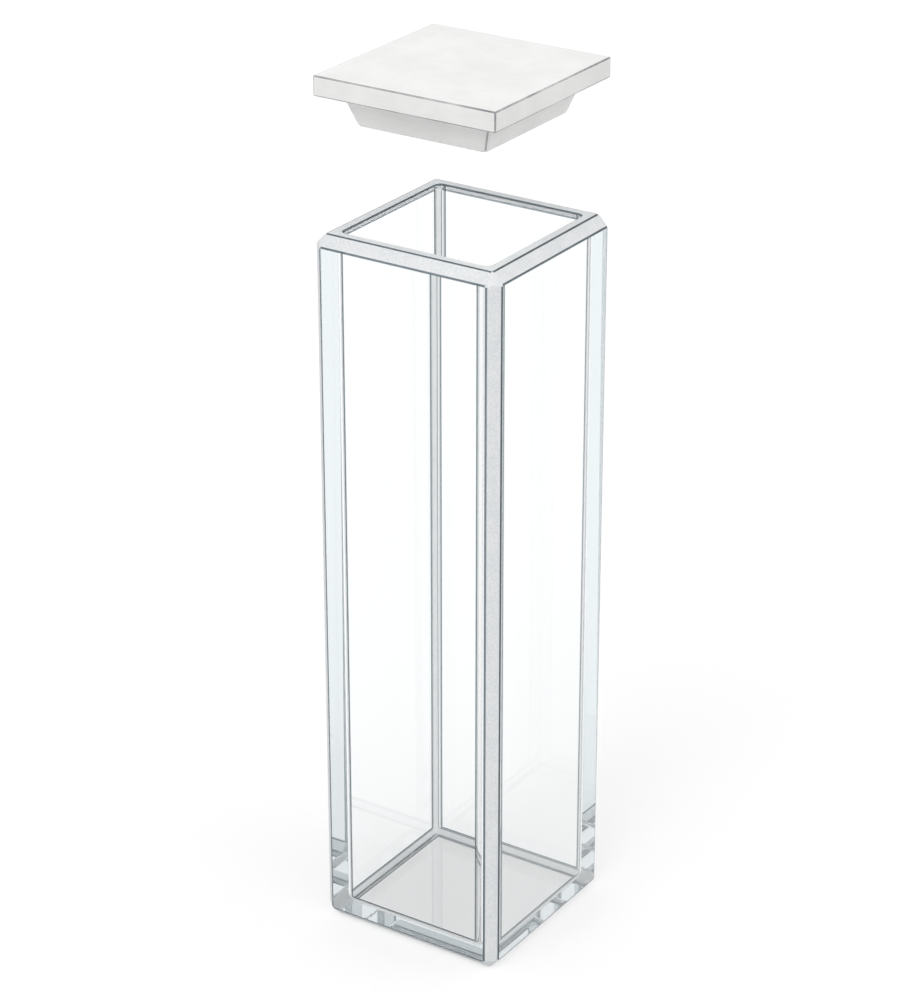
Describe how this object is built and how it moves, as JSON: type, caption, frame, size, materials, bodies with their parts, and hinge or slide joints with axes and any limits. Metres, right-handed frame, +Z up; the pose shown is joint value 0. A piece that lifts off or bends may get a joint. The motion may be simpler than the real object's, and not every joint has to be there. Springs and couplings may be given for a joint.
{
  "type": "cuvette",
  "caption": "Square clear glass laboratory cell with polished windows, ground edges and an open mouth, with its white push-in lid lifted off above it.",
  "frame": {"origin": "centre of the cell's foot, on the surface that the cell stands on", "axes": "+Z up the cell's axis to its mouth, X and Y square to the windows"},
  "size_m": [0.0126, 0.0126, 0.0543],
  "materials": {
    "clear_glass": "polished inside and on the four windows, finely ground on the chamfers and the rim",
    "white_ptfe": "waxy satin"
  },
  "bodies": {
    "root": {"cell": "clear_glass", "lid": "white_ptfe"}
  },
  "joints": []
}
